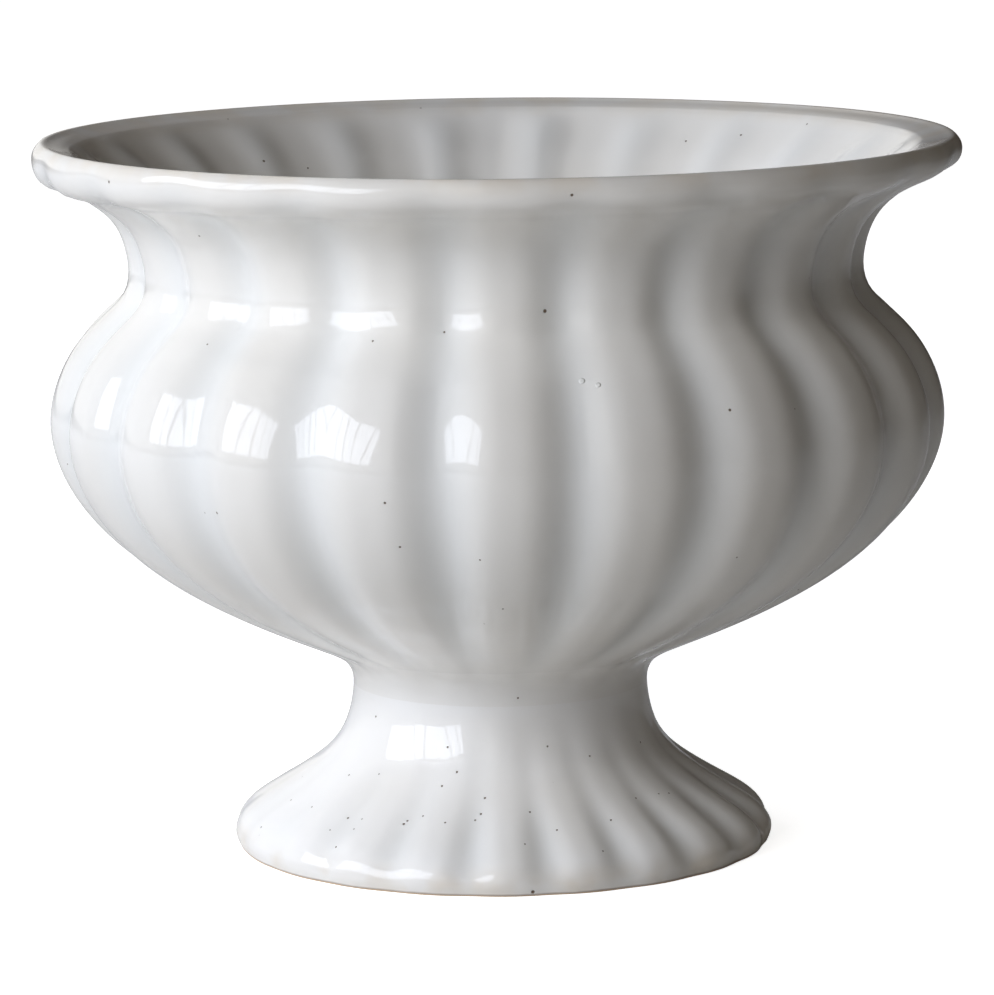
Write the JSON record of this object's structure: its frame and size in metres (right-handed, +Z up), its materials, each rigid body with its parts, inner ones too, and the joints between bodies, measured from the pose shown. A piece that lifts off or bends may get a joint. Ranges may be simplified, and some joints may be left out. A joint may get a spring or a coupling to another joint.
{
  "type": "cachepot",
  "caption": "White glazed earthenware cachepot: a wide fluted bowl with a rolled lip luted to a flared fluted foot, to hold a potted plant.",
  "frame": {"origin": "centre of the foot's standing ring, on the surface that the pot stands on", "axes": "+Z up along the pot's axis of turning, with a lobe's crest towards -Y and a groove towards +X"},
  "size_m": [0.2484, 0.25, 0.1922],
  "materials": {
    "white_glaze": "glossy white tin glaze on earthenware, a little wavy, with pinholes",
    "glazed_slip": "slip fillet under the same glossy white glaze"
  },
  "bodies": {
    "root": {"fluted_bowl": "white_glaze", "luting_slip": "glazed_slip", "pedestal_foot": "white_glaze"}
  },
  "joints": []
}
